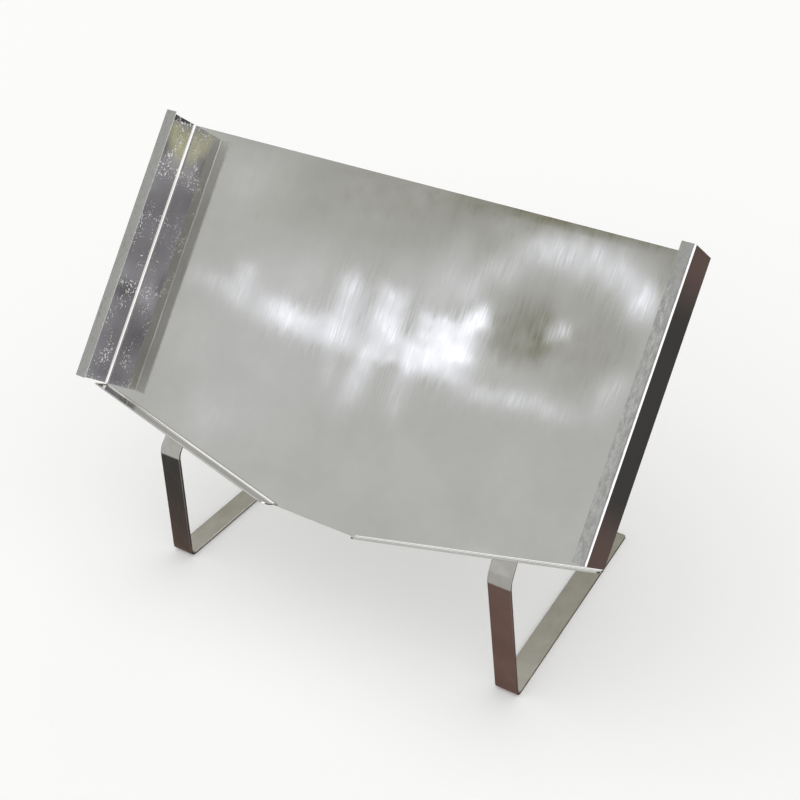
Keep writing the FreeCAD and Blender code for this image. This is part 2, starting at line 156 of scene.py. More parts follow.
class ChuteStudio(bpy.types.PropertyGroup):
    """Camera, floor and the room that the polished metal mirrors."""

    camera_place: FloatVectorProperty(name="Camera place", description="Where the camera stands",
                                      default=(0.71634, -0.99175, 1.09876), size=3,
                                      unit="LENGTH", subtype="TRANSLATION")
    camera_heading: FloatVectorProperty(name="Camera heading", description="Where it looks",
                                        default=(-0.46262, 0.66252, -0.58911), size=3,
                                        subtype="DIRECTION")
    camera_roll: angle("Camera roll", "Turn about the line of sight", -3.58)
    lens: FloatProperty(name="Lens", description="Focal length on a 36 mm sensor",
                        default=66.56, min=1.0, unit="CAMERA")
    floor_size: length("Floor size", "Side of the pale floor", 12.0)
    floor_shade: colour("Floor", "Pale matt floor", "FCFCFB")
    room_grey: colour("Room, front", "Pale room ahead of the tray", "CECFCE")
    room_violet: colour("Room, camera side", "Dim room behind the camera", "C4C3CE")
    room_lamp: colour("Room, lamp", "Yellow lamp in the dim part of the room", "FFFFD4")
    room_olive: colour("Room, back", "Wall behind the chute", "ACACA1")
    room_brown: colour("Room, ground", "Brown ground around the chute", "7B635D")
    room_dark: colour("Room, dark ground", "Darkest part of the ground", "464544")


# ---------------------------------------------------------------- sheet-metal helpers

def free_verts(edges):
    """The edges' vertices, once each, always in the same order."""
    return list(dict.fromkeys(v for e in edges for v in e.verts))


def grow(bm, edges, step):
    """Extend the sheet from its free edges by one straight step and return the new free edges."""
    made = bmesh.ops.extrude_edge_only(bm, edges=edges)["geom"]
    verts = {item for item in made if isinstance(item, bmesh.types.BMVert)}
    bmesh.ops.translate(bm, verts=list(verts), vec=step)
    return [item for item in made if isinstance(item, bmesh.types.BMEdge)
            and item.verts[0] in verts and item.verts[1] in verts]


def fold(bm, edges, ahead, inward, radius, turn, steps):
    """Roll the sheet's free edges through one bend.

    ahead is the way the sheet was going and inward is the side it turns to. Returns the new free
    edges, with the ways ahead and inward after the bend.
    """
    centre = edges[0].verts[0].co + inward * radius
    made = bmesh.ops.spin(bm, geom=free_verts(edges) + edges, cent=centre,
                          axis=ahead.cross(inward), dvec=(0, 0, 0), angle=turn, steps=steps,
                          use_duplicate=False)
    last = [item for item in made["geom_last"] if isinstance(item, bmesh.types.BMEdge)]
    new_ahead = ahead * math.cos(turn) + inward * math.sin(turn)
    new_inward = inward * math.cos(turn) - ahead * math.sin(turn)
    return last, new_ahead, new_inward


def thicken(bm, gauge, outward):
    """Give the skin its thickness on the side away from outward, which one face looks at."""
    bmesh.ops.recalc_face_normals(bm, faces=bm.faces)
    bm.faces.ensure_lookup_table()
    if bm.faces[0].normal.dot(outward) < 0:
        bmesh.ops.reverse_faces(bm, faces=bm.faces)
    bm.normal_update()
    bmesh.ops.solidify(bm, geom=bm.faces[:], thickness=gauge)
    bmesh.ops.recalc_face_normals(bm, faces=bm.faces)


def break_edges(bm, width, steps):
    """Round every cut edge by the little that deburring takes off."""
    cut = [e for e in bm.edges if e.is_manifold and e.calc_face_angle() > SHARP]
    bmesh.ops.bevel(bm, geom=cut, affect="EDGES", offset=width, offset_type="OFFSET",
                    segments=steps, profile=0.5, material=-1, clamp_overlap=True)


def finish_piece(bm, name, node, material, place):
    """Put a finished shape in the model's frame as one object that stands for a CAD node."""
    bm.transform(place)
    bmesh.ops.recalc_face_normals(bm, faces=bm.faces)
    mesh = bpy.data.meshes.new(name)
    bm.to_mesh(mesh)
    bm.free()
    mesh.shade_smooth()
    mesh.materials.append(material)
    piece = bpy.data.objects.new(name, mesh)
    bpy.context.scene.collection.objects.link(piece)
    weighted = piece.modifiers.new("flat faces stay flat", "WEIGHTED_NORMAL")
    weighted.mode = "FACE_AREA"
    weighted.weight = FLAT_WEIGHT
    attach(piece, BODY)
    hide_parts(node)
    return piece


def tray_place(sizes):
    """Where the tray's own frame sits: X across, Y to the back edge, Z square to the floor."""
    low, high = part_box("tray")
    cos_tilt, sin_tilt = math.cos(sizes.tray_tilt), math.sin(sizes.tray_tilt)
    y = high.y - sizes.wall_length * cos_tilt
    z = high.z - sizes.wall_length * sin_tilt - sizes.wall_height * cos_tilt
    return Matrix.Translation((0, y, z)) @ Matrix.Rotation(sizes.tray_tilt, 4, "X")


# ---------------------------------------------------------------- the tray

GRID_ACROSS = 60                 # cells in the floor, enough to carry its slow waves
GRID_ALONG = 30
FOLD_STEPS = 14                  # facets round each fold
CUT_EDGE_STEPS = 2
LIP_CORNER_STEPS = 8
WAVES = ((5.3, 1.1), (-3.1, 7.9))    # radians across and along, over half the width and the length


class CHUTE_OT_tray(bpy.types.Operator):
    """Build the folded tray from its flat floor outwards"""

    bl_idname = "chute.tray"
    bl_label = "Folded tray"

    def execute(self, context):
        sizes = context.scene.chute_sizes
        bm = bmesh.new()
        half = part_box("tray")[1].x
        outer = sizes.fold_radius + sizes.sheet_gauge
        side_line = half - outer
        lip_outer = sizes.lip_fold + sizes.sheet_gauge
        self.add_floor(bm, sizes, side_line)
        for side in (LEFT, RIGHT):
            self.add_wall(bm, sizes, side, side_line, outer, lip_outer)
        self.add_spout(bm, sizes, half, side_line, lip_outer)
        thicken(bm, sizes.sheet_gauge, -UP)
        break_edges(bm, sizes.sheet_edge, CUT_EDGE_STEPS)
        finish_piece(bm, "tray_sheet", "tray", mirror_sheet(context),
                     tray_place(sizes))
        return {"FINISHED"}

    def add_floor(self, bm, sizes, side_line):
        """The floor between the wall folds, very slightly wavy as rolled sheet is."""
        middle = sizes.wall_length / 2
        place = Matrix.Translation((0, middle, 0)) @ Matrix.Diagonal((side_line, middle, 1, 1))
        bmesh.ops.create_grid(bm, x_segments=GRID_ACROSS, y_segments=GRID_ALONG, size=1.0,
                              matrix=place)
        for vert in bm.verts:
            across = vert.co.x / side_line
            along = vert.co.y / sizes.wall_length
            fade = (1 - across ** 4) * (1 - (2 * along - 1) ** 4)
            wave = sum(math.sin(a * across + b * along) for a, b in WAVES) / len(WAVES)
            vert.co.z += sizes.waviness * fade * wave

    def add_wall(self, bm, sizes, side, side_line, outer, lip_outer):
        """One side wall and its inward lip."""
        edges = [e for e in bm.edges
                 if all(abs(v.co.x - side * side_line) < TINY for v in e.verts)]
        quarter = math.pi / 2
        ahead, inward = Vector((side, 0, 0)), UP.copy()
        edges, ahead, inward = fold(bm, edges, ahead, inward, outer, quarter, FOLD_STEPS)
        edges = grow(bm, edges, ahead * (sizes.wall_height - outer - lip_outer))
        edges, ahead, inward = fold(bm, edges, ahead, inward, lip_outer, quarter, FOLD_STEPS)
        grow(bm, edges, ahead * (sizes.wall_lip - lip_outer))

    def add_spout(self, bm, sizes, half, side_line, outer):
        """The floor ahead of the walls and the low lips folded up along its tapers.

        The floor is first grown straight to the lips' bend lines, then its tapered stretches are
        drawn back along the slope, and its middle goes on to the plain front edge.
        """
        corner = sizes.spout_width / 2
        run = half - corner
        rise = sizes.spout_reach - sizes.corner_gap
        slope = math.atan2(rise, run)
        turn = math.pi / 2 - sizes.spout_lean
        setback = outer * math.tan(turn / 2)
        bend_x = corner - setback * math.sin(slope)
        bend_y = setback * math.cos(slope) - sizes.spout_reach

        for x in (-bend_x, bend_x):
            bmesh.ops.bisect_plane(bm, geom=bm.verts[:] + bm.edges[:] + bm.faces[:],
                                   plane_co=(x, 0, 0), plane_no=(1, 0, 0))
        front = [e for e in bm.edges if all(
            abs(v.co.y) < TINY and abs(v.co.z) < TINY and abs(v.co.x) < side_line + TINY
            for v in e.verts)]
        front = grow(bm, front, Vector((0, bend_y, 0)))
        for vert in free_verts(front):
            vert.co.y += max(0.0, abs(vert.co.x) - bend_x) * math.tan(slope)

        middle = [e for e in front if all(abs(v.co.x) < bend_x + TINY for v in e.verts)]
        tapers = {side: [e for e in front if e not in middle and e.verts[0].co.x * side > 0]
                  for side in (LEFT, RIGHT)}
        nose = grow(bm, middle, Vector((0, -sizes.spout_reach - bend_y, 0)))
        for vert in free_verts(nose):
            if abs(vert.co.x) > bend_x - TINY:
                vert.co.x = math.copysign(corner, vert.co.x)

        past_floor = (math.hypot(run, rise) - sizes.corner_gap / 2
                      - (side_line - bend_x) / math.cos(slope))
        for side in (LEFT, RIGHT):
            ahead = Vector((side * math.sin(slope), -math.cos(slope), 0))
            along = Vector((side * math.cos(slope), math.sin(slope), 0))
            self.add_low_lip(bm, sizes, tapers[side], ahead, along, outer, turn, past_floor)

    def add_low_lip(self, bm, sizes, edges, ahead, along, outer, turn, past_floor):
        """One low lip, a little longer than the floor behind it, its front end rounded."""
        floor_verts = set(free_verts(edges))
        before = set(bm.verts)
        edges, ahead, inward = fold(bm, edges, ahead, UP.copy(), outer, turn, FOLD_STEPS)
        height = sizes.spout_lip - outer * (1 - math.cos(turn))
        edges = grow(bm, edges, ahead * (height / ahead.z))
        lip_verts = [v for v in bm.verts if v not in before]
        far = max(v.co.dot(along) for v in floor_verts)
        near = min(v.co.dot(along) for v in floor_verts)
        outer_end = [v for v in lip_verts if abs(v.co.dot(along) - far) < TINY]
        bmesh.ops.translate(bm, verts=outer_end, vec=along * past_floor)
        corner = [v for v in free_verts(edges) if abs(v.co.dot(along) - near) < TINY]
        flat = {face for e in edges for face in e.link_faces}
        columns = [e for e in bm.edges
                   if len(e.link_faces) == 2 and all(f in flat for f in e.link_faces)]
        bmesh.ops.dissolve_edges(bm, edges=columns, use_verts=True)
        bmesh.ops.bevel(bm, geom=corner, affect="VERTICES", offset=sizes.spout_corner,
                        offset_type="OFFSET", segments=LIP_CORNER_STEPS, profile=0.5, material=-1)


# ---------------------------------------------------------------- the legs

BAR_EDGE_STEPS = 3
FOOT_CORNER_STEPS = 5


class CHUTE_OT_legs(bpy.types.Operator):
    """Bend the two flat-bar legs: tab, upright and foot"""

    bl_idname = "chute.legs"
    bl_label = "Flat-bar legs"

    def execute(self, context):
        sizes = context.scene.chute_sizes
        material = polished_bar(context)
        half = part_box("tray")[1].x
        for side, name, inset in ((LEFT, "left_leg", sizes.left_inset),
                                  (RIGHT, "right_leg", sizes.right_inset)):
            bm = self.bent_bar(sizes, side)
            shift = Matrix.Translation((side * (half - inset), -sizes.tab_overhang, 0))
            finish_piece(bm, name + "_bar", name, material,
                         tray_place(sizes) @ shift)
        return {"FINISHED"}

    def bent_bar(self, sizes, side):
        """One leg with its tab-to-upright corner at the origin, in the tray's axes."""
        bm = bmesh.new()
        half = sizes.bar_width / 2 / math.cos(sizes.toe_in)
        start = [bm.verts.new((x, sizes.tab_length, 0)) for x in (-half, half)]
        edges = [bm.edges.new(start)]
        tab_turn = math.pi / 2 - sizes.tray_tilt
        foot_turn = math.pi / 2
        tab_radius = sizes.tab_bend + sizes.bar_gauge
        foot_radius = sizes.foot_bend + sizes.bar_gauge
        tab_setback = tab_radius * math.tan(tab_turn / 2)
        foot_setback = foot_radius * math.tan(foot_turn / 2)
        upright = sizes.leg_height - tab_setback - foot_setback

        ahead, inward = Vector((0, -1, 0)), -UP
        edges = grow(bm, edges, ahead * (sizes.tab_length - tab_setback))
        edges, ahead, inward = fold(bm, edges, ahead, inward, tab_radius, tab_turn, FOLD_STEPS)
        edges = grow(bm, edges, ahead * upright)
        edges, ahead, inward = fold(bm, edges, ahead, inward, foot_radius, foot_turn, FOLD_STEPS)
        edges = grow(bm, edges, ahead * (sizes.foot_length - foot_setback))
        bmesh.ops.bevel(bm, geom=free_verts(edges), affect="VERTICES", offset=sizes.foot_corner,
                        offset_type="OFFSET", segments=FOOT_CORNER_STEPS, profile=0.5, material=-1)
        thicken(bm, sizes.bar_gauge, UP)
        skew = Matrix.Identity(4)
        skew[0][1] = -side * math.tan(sizes.toe_in)
        bm.transform(skew)
        break_edges(bm, sizes.bar_edge, BAR_EDGE_STEPS)
        return bm


# ---------------------------------------------------------------- the welds

BEAD_SIDES = 16
BEAD_RADIUS = 0.52               # of the fillet's leg length
BEAD_TIP = 0.5                   # a bead's width where it starts, as a share of its full width
BEAD_ENDS = (0.72, 0.86)         # and at its first ripples, from either end
RIPPLE_DIP = 0.86                # width between two ripples, as a share of the ripple's


class CHUTE_OT_welds(bpy.types.Operator):
    """Lay the four fillet beads that hold the tabs to the underside of the tray"""

    bl_idname = "chute.welds"
    bl_label = "Weld beads"

    def execute(self, context):
        sizes = context.scene.chute_sizes
        material = weld_metal(context)
        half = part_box("tray")[1].x
        start = sizes.tab_length - sizes.weld_end_gap
        for side, leg, inset in ((LEFT, "left_leg", sizes.left_inset),
                                 (RIGHT, "right_leg", sizes.right_inset)):
            turn = Matrix.Rotation(side * sizes.toe_in, 4, "Z")
            corner = Matrix.Translation((side * (half - inset), -sizes.tab_overhang, 0))
            for edge in (LEFT, RIGHT):
                node = leg + ("_outer_weld" if edge == side else "_inner_weld")
                bm = self.bead(sizes, edge, start)
                finish_piece(bm, node + "_bead", node, material,
                             tray_place(sizes) @ corner @ turn)
        return {"FINISHED"}

    def bead(self, sizes, edge, start):
        """A rippled, slightly domed bead in the corner beside the tab."""
        bm = bmesh.new()
        radius = sizes.weld_size * BEAD_RADIUS
        sink = sizes.weld_size - radius
        middle = Vector((edge * (sizes.bar_width / 2 + sink), start, -sink))
        upright = Matrix.Rotation(math.pi / 2, 4, "X")
        ring = bmesh.ops.create_circle(bm, cap_ends=True, radius=radius * BEAD_TIP,
                                       segments=BEAD_SIDES,
                                       matrix=Matrix.Translation(middle) @ upright)["verts"]
        edges = [e for e in bm.edges if e.verts[0] in ring and e.verts[1] in ring]
        ripples = round(sizes.weld_length / sizes.weld_ripple)
        half_step = Vector((0, -sizes.weld_length / ripples / 2, 0))
        present = BEAD_TIP
        for ripple in range(ripples):
            ends = min(ripple, ripples - 1 - ripple)
            full = BEAD_ENDS[ends] if ends < len(BEAD_ENDS) else 1.0
            for share in (full, full * RIPPLE_DIP):
                edges = grow(bm, edges, half_step)
                verts = free_verts(edges)
                here = Matrix.Translation(-sum((v.co for v in verts), Vector()) / len(verts))
                bmesh.ops.scale(bm, vec=(share / present, 1, share / present), space=here,
                                verts=verts)
                present = share
        bmesh.ops.contextual_create(bm, geom=edges)
        return bm


# ---------------------------------------------------------------- material helpers

NOISE_CORE = (0.35, 0.65)        # most of a noise's values lie between these
NOISE_WIDE = (0.3, 0.7)          # and nearly all between these


def add(tree, kind, inputs=(), **settings):
    """Add one shader node with its options and inputs, each input a value or a link.

    inputs is a dictionary by name or place, or a tuple in the node's own order.
    """
    made = tree.nodes.new("ShaderNode" + kind)
    for key, value in settings.items():
        setattr(made, key, value)
    given = inputs.items() if isinstance(inputs, dict) else enumerate(inputs)
    for key, value in given:
        if isinstance(value, bpy.types.NodeSocket):
            tree.links.new(value, made.inputs[key])
        else:
            made.inputs[key].default_value = value
    return made


def new_material(name):
    material = bpy.data.materials.new(name)
    material.use_nodes = True
    material.node_tree.nodes.clear()
    return material, material.node_tree


def rgba(value):
    return (*value, 1.0)


def metal_output(tree, base, roughness, normal, metallic=1.0):
    """A bare metal surface, whose IOR stays at its default."""
    shader = add(tree, "BsdfPrincipled", {
        "Base Color": base, "Roughness": roughness, "Metallic": metallic, "Normal": normal})
    add(tree, "OutputMaterial", {"Surface": shader.outputs["BSDF"]})


def lines(tree, coords, width, run, turn, detail):
    """Fine parallel lines: width apart, run long, turned about the sheet's own normal."""
    laid = add(tree, "Mapping", {
        "Vector": coords, "Rotation": (0, 0, turn), "Scale": (1 / width, 1 / run, 1 / run)})
    return add(tree, "TexNoise", {
        "Vector": laid.outputs["Vector"], "Scale": 1.0, "Detail": detail,
        "Roughness": 0.6}).outputs["Fac"]


def paint(tree, colour, layers):
    """Lay colours over one another, each as (share, colour)."""
    for share, over in layers:
        # 6, 7 and output 2 are the node's colour sockets
        colour = add(tree, "Mix", {0: share, 6: colour, 7: over}, data_type="RGBA").outputs[2]
    return colour


# ---------------------------------------------------------------- the metals

# Roughness of each metal, from its cleanest to its haziest places, and what its buffing adds.
SHEET_ROUGHNESS = (0.02, 0.055)
SHEET_BUFFING = (-0.01, 0.03)
BAR_ROUGHNESS = (0.09, 0.17)
BAR_BUFFING = (-0.02, 0.04)
WELD_ROUGHNESS = (0.28, 0.42)
# Roughness of the sheet's worn places, and how much of each is dull rather than bare metal.
SPECK_WEAR = (0.75, 1.0)
UNDERSIDE_WEAR = (0.35, 0.75)
LIP_TOP_WEAR = (0.25, 0.35)
DULL_METALLIC = 0.05
# In sheet gauges: the band that takes in the walls' inner faces, as its middle in from the outer
# face and its half width, and how far below the lips' tops the specks end.
INNER_FACE = (1.25, 0.75)
SPECKS_BELOW = 2.5
# How the noises become worn places: their range, and what it turns into.
RUBBING = (0.34, 0.60, 0.15, 1.0)
RUB_LENGTH = 3                   # of the rubbed patches, over their width
SPECK_GROUPS = (0.38, 0.60, 0.74, 0.585)
SPECK_GRAIN = 1.5                # flecks to each spacing
GROUP_SIZE = 8                   # spacings to each loose group
# Depth of the patterns that the light picks out.
SHEET_BUFF_DEPTH = 0.0005 * MM
BAR_BUFF_DEPTH = 0.004 * MM
WELD_GRIT_DEPTH = 0.05 * MM
# Two passes of the buffing wheel, each with its turn and its line width over the finer one's.
BUFF_TURN = math.radians(12)
CROSS_TURN = math.radians(-31)
CROSS_WIDTH = 1.7
BOTH_PASSES = (0.8, 1.2)         # where most of their sum lies
BAR_BUFF_WIDTH = 0.6             # the bar's lines, over the sheet's
BLUED = (0.4, 0.6)               # where the welds' heat tint turns from straw to blue


def mirror_sheet(context):
    """304 stainless sheet, rolled bright and buffed by hand to a mirror.

    The eye gets a clear reflection, softened in patches by polishing haze, with fine buffing
    lines from back to front, dried specks on the walls and lips rubbed by hands and packing.
    """
    finish, sizes = context.scene.chute_finish, context.scene.chute_sizes
    material, tree = new_material("mirror_buffed_304_stainless_sheet")
    place = add(tree, "TexCoord").outputs["Object"]
    coords = add(tree, "Mapping", {
        "Vector": place, "Rotation": (-sizes.tray_tilt, 0, 0)}).outputs["Vector"]
    specks, underside, lip_top = worn_places(tree, coords, sizes, finish)

    haze = add(tree, "TexNoise", {
        "Vector": coords, "Scale": 1 / finish.haze_patch, "Detail": 3.0,
        "Roughness": 0.55}).outputs["Fac"]
    fine = lines(tree, coords, finish.buff_width, finish.buff_length, BUFF_TURN, 3.0)
    cross = lines(tree, coords, finish.buff_width * CROSS_WIDTH, finish.buff_length,
                  CROSS_TURN, 2.0)
    buffing = add(tree, "Math", (fine, cross), operation="ADD").outputs[0]

    hazed = add(tree, "MapRange", (haze, *NOISE_CORE, 0.0, 1.0)).outputs[0]
    base = paint(tree, rgba(finish.sheet_light), (
        (hazed, rgba(finish.sheet_dull)), (lip_top, rgba(finish.lip_top)),
        (specks, rgba(finish.dust)), (underside, rgba(finish.underside))))

    polish = add(tree, "MapRange", (haze, *NOISE_WIDE, *SHEET_ROUGHNESS)).outputs[0]
    passes = add(tree, "MapRange", (buffing, *BOTH_PASSES, *SHEET_BUFFING)).outputs[0]
    roughness = add(tree, "Math", (polish, passes), operation="ADD").outputs[0]
    dullness = 0.0
    for share, (rough, dull) in ((specks, SPECK_WEAR), (underside, UNDERSIDE_WEAR),
                                 (lip_top, LIP_TOP_WEAR)):
        here = add(tree, "Math", (share, rough), operation="MULTIPLY").outputs[0]
        roughness = add(tree, "Math", (roughness, here), operation="MAXIMUM").outputs[0]
        here = add(tree, "Math", (share, dull), operation="MULTIPLY").outputs[0]
        dullness = add(tree, "Math", (dullness, here), operation="MAXIMUM").outputs[0]
    metallic = add(tree, "MapRange", (dullness, 0.0, 1.0, 1.0, DULL_METALLIC)).outputs[0]
    normal = add(tree, "Bump", {
        "Height": buffing, "Strength": 1.0, "Distance": SHEET_BUFF_DEPTH}).outputs["Normal"]
    metal_output(tree, base, roughness, normal, metallic)
    return material


def worn_places(tree, coords, sizes, finish):
    """Masks of the specks on the walls' inner faces, the lips' undersides and their tops."""
    half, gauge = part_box("tray")[1].x, sizes.sheet_gauge
    floor = (Matrix.Rotation(-sizes.tray_tilt, 3, "X") @ tray_place(sizes).translation).z
    top = floor + sizes.wall_height
    parts = add(tree, "SeparateXYZ", (coords,)).outputs
    across = add(tree, "Math", (parts["X"],), operation="ABSOLUTE").outputs[0]
    level = parts["Z"]

    bands = []
    for value, middle, reach in (
            (across, half - INNER_FACE[0] * gauge, INNER_FACE[1] * gauge),
            (across, half - sizes.wall_lip / 2 - gauge, sizes.wall_lip / 2),
            (level, top - gauge, gauge / 2),
            (level, top, gauge / 2)):
        bands.append(add(tree, "Math", (value, middle, reach), operation="COMPARE").outputs[0])
    on_wall, inboard, under_lip, on_lip = bands
    below_lip = add(tree, "Math", (level, top - SPECKS_BELOW * gauge),
                    operation="LESS_THAN").outputs[0]
    rubbing = lines(tree, coords, finish.rub_patch, finish.rub_patch * RUB_LENGTH, 0.0, 6.0)
    rubbing = add(tree, "MapRange", (rubbing, *RUBBING)).outputs[0]

    masks = []
    for first, second in ((on_wall, below_lip), (inboard, under_lip), (on_lip, rubbing)):
        masks.append(add(tree, "Math", (first, second), operation="MULTIPLY").outputs[0])
    specks = speck_mask(tree, coords, finish.speck_spacing)
    masks[0] = add(tree, "Math", (masks[0], specks), operation="MULTIPLY").outputs[0]
    return masks


def speck_mask(tree, coords, spacing):
    """Small dried specks of uneven shape, in loose groups."""
    flecks = add(tree, "TexNoise", {
        "Vector": coords, "Scale": SPECK_GRAIN / spacing, "Detail": 3.0,
        "Roughness": 0.6}).outputs["Fac"]
    groups = add(tree, "TexNoise", {
        "Vector": coords, "Scale": 1 / (GROUP_SIZE * spacing), "Detail": 2.0}).outputs["Fac"]
    needed = add(tree, "MapRange", (groups, *SPECK_GROUPS)).outputs[0]
    return add(tree, "Math", (flecks, needed), operation="GREATER_THAN").outputs[0]


def polished_bar(context):
    """304 stainless flat bar, edges eased and buffed along its length.

    It mirrors less clearly than the sheet, with long fine lines that follow the bar.
    """
    finish = context.scene.chute_finish
    material, tree = new_material("buffed_304_stainless_flat_bar")
    coords = add(tree, "TexCoord").outputs["Object"]
    haze = add(tree, "TexNoise", {
        "Vector": coords, "Scale": 2 / finish.haze_patch, "Detail": 3.0}).outputs["Fac"]
    buffing = lines(tree, coords, finish.buff_width * BAR_BUFF_WIDTH, finish.buff_length, 0.0, 3.0)
    hazed = add(tree, "MapRange", (haze, *NOISE_CORE, 0.0, 1.0)).outputs[0]
    base = paint(tree, rgba(finish.bar_light), ((hazed, rgba(finish.bar_dull)),))
    polish = add(tree, "MapRange", (haze, *NOISE_WIDE, *BAR_ROUGHNESS)).outputs[0]
    passes = add(tree, "MapRange", (buffing, *NOISE_CORE, *BAR_BUFFING)).outputs[0]
    roughness = add(tree, "Math", (polish, passes), operation="ADD").outputs[0]
    normal = add(tree, "Bump", {
        "Height": buffing, "Strength": 1.0, "Distance": BAR_BUFF_DEPTH}).outputs["Normal"]
    metal_output(tree, base, roughness, normal)
    return material


def weld_metal(context):
    """Stainless filler laid by TIG, brushed but not ground, with straw and blue heat tint."""
    finish = context.scene.chute_finish
    material, tree = new_material("brushed_tig_weld_stainless")
    coords = add(tree, "TexCoord").outputs["Object"]
    tint = add(tree, "TexNoise", {
        "Vector": coords, "Scale": 1 / finish.tint_patch, "Detail": 3.0}).outputs["Fac"]
    blued = add(tree, "MapRange", (tint, *BLUED, 0.0, 1.0)).outputs[0]
    base = paint(tree, rgba(finish.weld_straw), ((blued, rgba(finish.weld_blue)),))
    grit = add(tree, "TexNoise", {
        "Vector": coords, "Scale": 1 / finish.brush_grit, "Detail": 3.0}).outputs["Fac"]
    roughness = add(tree, "MapRange", (grit, *NOISE_WIDE, *WELD_ROUGHNESS)).outputs[0]
    normal = add(tree, "Bump", {
        "Height": grit, "Strength": 0.6, "Distance": WELD_GRIT_DEPTH}).outputs["Normal"]
    metal_output(tree, base, roughness, normal)
    return material


# ---------------------------------------------------------------- the studio

SENSOR_WIDTH = 36.0              # mm
FRAME_SHIFT = (-0.0013, -0.0039)
PLAIN_WHITE = (1.0, 1.0, 1.0)
COOL = (0.93, 0.96, 1.12)        # tint of the soft lights
STREAK = (7 * MM, 130 * MM)      # width and length of the streaks that polishing draws them into
DRIFT = (5 * MM, 46 * MM)        # how far the streaks carry light across and along the floor
CLOUD = 17 * MM                  # size of their paler and brighter patches
STREAK_CONTRAST = (0.7, 1.3)
CLOUD_CONTRAST = (0.45, 1.55)
GLOW_FACING = (0.1, 0.3)         # the lights fade out towards the tray's own plane
BLOTCH = 38 * MM                 # size of the dark blotches in the dim part of the room
BLOTCHES = (0.42, 0.58, 0.0, 0.72)
CHART_FACING = 0.02              # directions lower than this share one place on the chart

# Soft lights in the room, each given by where the tray floor mirrors it for the camera, in mm
# across and along the floor: middle, half width and half height, turn in degrees, how soft its
# rim is (0 to 1), how square it is (1) or round (0), and brightness.
GLOWS = (
    # the window, its panes side by side
    (-45, 153, 13, 36, 3, 0.35, 1, 0.62),
    (2, 163, 19, 27, 0, 0.35, 1, 0.55),
    (4, 151, 21, 10, 0, 0.5, 1, 0.30),
    (70, 158, 36, 21, 0, 0.35, 1, 0.62),
    (90, 148, 26, 12, 0, 0.8, 1, 0.30),
    (100, 181, 16, 14, 0, 0.6, 0, 0.85),
    # the long low band under it
    (-98, 129, 52, 15, -3, 0.8, 1, 0.62),
    (-25, 127, 42, 14, 0, 0.8, 1, 0.34),
    (58, 131, 56, 16, 0, 0.7, 1, 0.66),
    (165, 118, 70, 10, 5, 1.0, 1, 0.40),
    (-210, 137, 50, 12, -6, 0.9, 1, 0.24),
    (-170, 145, 15, 26, 0, 0.6, 1, 0.26),
    (-120, 165, 60, 50, 0, 1.0, 0, 0.10),
    # spikes of light hanging from the band
    (-8, 96, 16, 46, -8, 1.0, 0, 0.40),
    (42, 92, 9, 38, 4, 1.0, 0, 0.32),
    (-44, 96, 10, 26, 14, 1.0, 0, 0.18),
    # fan above the window
    (52, 215, 26, 44, -10, 1.0, 0, 0.22),
    (8, 205, 20, 30, 0, 1.0, 0, 0.08),
    (84, 214, 12, 26, -22, 0.9, 0, 0.30),
    # the clouds above its right end
    (108, 236, 28, 16, 24, 0.9, 0, 0.36),
    (140, 262, 34, 18, 10, 0.9, 0, 0.44),
    (178, 266, 32, 22, -4, 0.9, 0, 0.34),
    (222, 258, 36, 20, -18, 0.9, 0, 0.42),
    (252, 242, 16, 22, 0, 0.7, 0, 0.70),
    (182, 196, 15, 11, -30, 0.6, 0, 0.50),
    (250, 150, 16, 30, -10, 0.9, 0, 0.34),
    (280, 200, 26, 80, 0, 1.0, 0, 0.12),
    # seen only in the tabs and their bends
    (206, -72, 40, 46, 0, 0.6, 1, 0.42),
    (-192, -72, 40, 46, 0, 0.6, 1, 0.05),
    # faint ones
    (-150, 12, 46, 34, 0, 1.0, 0, 0.10),
    (-130, 70, 130, 90, 0, 1.0, 0, 0.07),
    (-208, 262, 36, 34, 0, 1.0, 0, 0.12),
    # shades: the dark oval and the dim room above the window
    (150, 185, 42, 38, 10, 0.5, 0, -0.24),
    (232, 190, 80, 72, 0, 1.0, 0, -0.15),
    (-10, 300, 200, 95, 0, 1.0, 1, -0.17),
    (-240, 300, 60, 60, 0, 1.0, 1, -0.06),
    (190, 312, 160, 30, 0, 1.0, 1, -0.34),
    (276, 270, 26, 32, 0, 0.8, 0, -0.20),
    (-352, 150, 40, 280, 0, 0.5, 1, -0.30),
)

# The lamp, in metres across and along the floor, and how far back its two arms slant.
LAMP = (1.732, 0.256)
LAMP_SLANT = 1.3
MIDDLE_Y = 0.05                  # a direction's part y where the ground under the tray stays dark
BELOW_SHARE = 0.55               # how brown it is to either side

# The room's broad areas. Each is where all its edges are full, and an edge is what it is measured
# by, where it begins and where it is full: metres across and along the floor, as for the lights,
# or the parts x, y and z of a direction in the tray's own axes.
AREAS = {
    "dim side": (("across", 0.45, 1.1),),
    "lamp": (("from lamp", 0.019, 0.007), ("across", 1.2, 1.5)),
    "far window": (("across", 1.84, 2.0),),
    "back window": (("along", 0.95, 1.4),),
    "below": (("z", -0.65, -0.8), ("from middle", 0.06, 0.10), ("x", 0.5, 0.4)),
    "shaded": (("x", -0.42, -0.5), ("z", -0.052, -0.044)),
    "ahead": (("y", -0.5, -0.7),),
    "behind": (("y", 0.2, 0.5),),
    "side window": (("x", 0.60, 0.66), ("z", -0.78, -0.70), ("off square", 0.30, 0.20)),
    "above": (("z", 0.02, 0.2),),
}


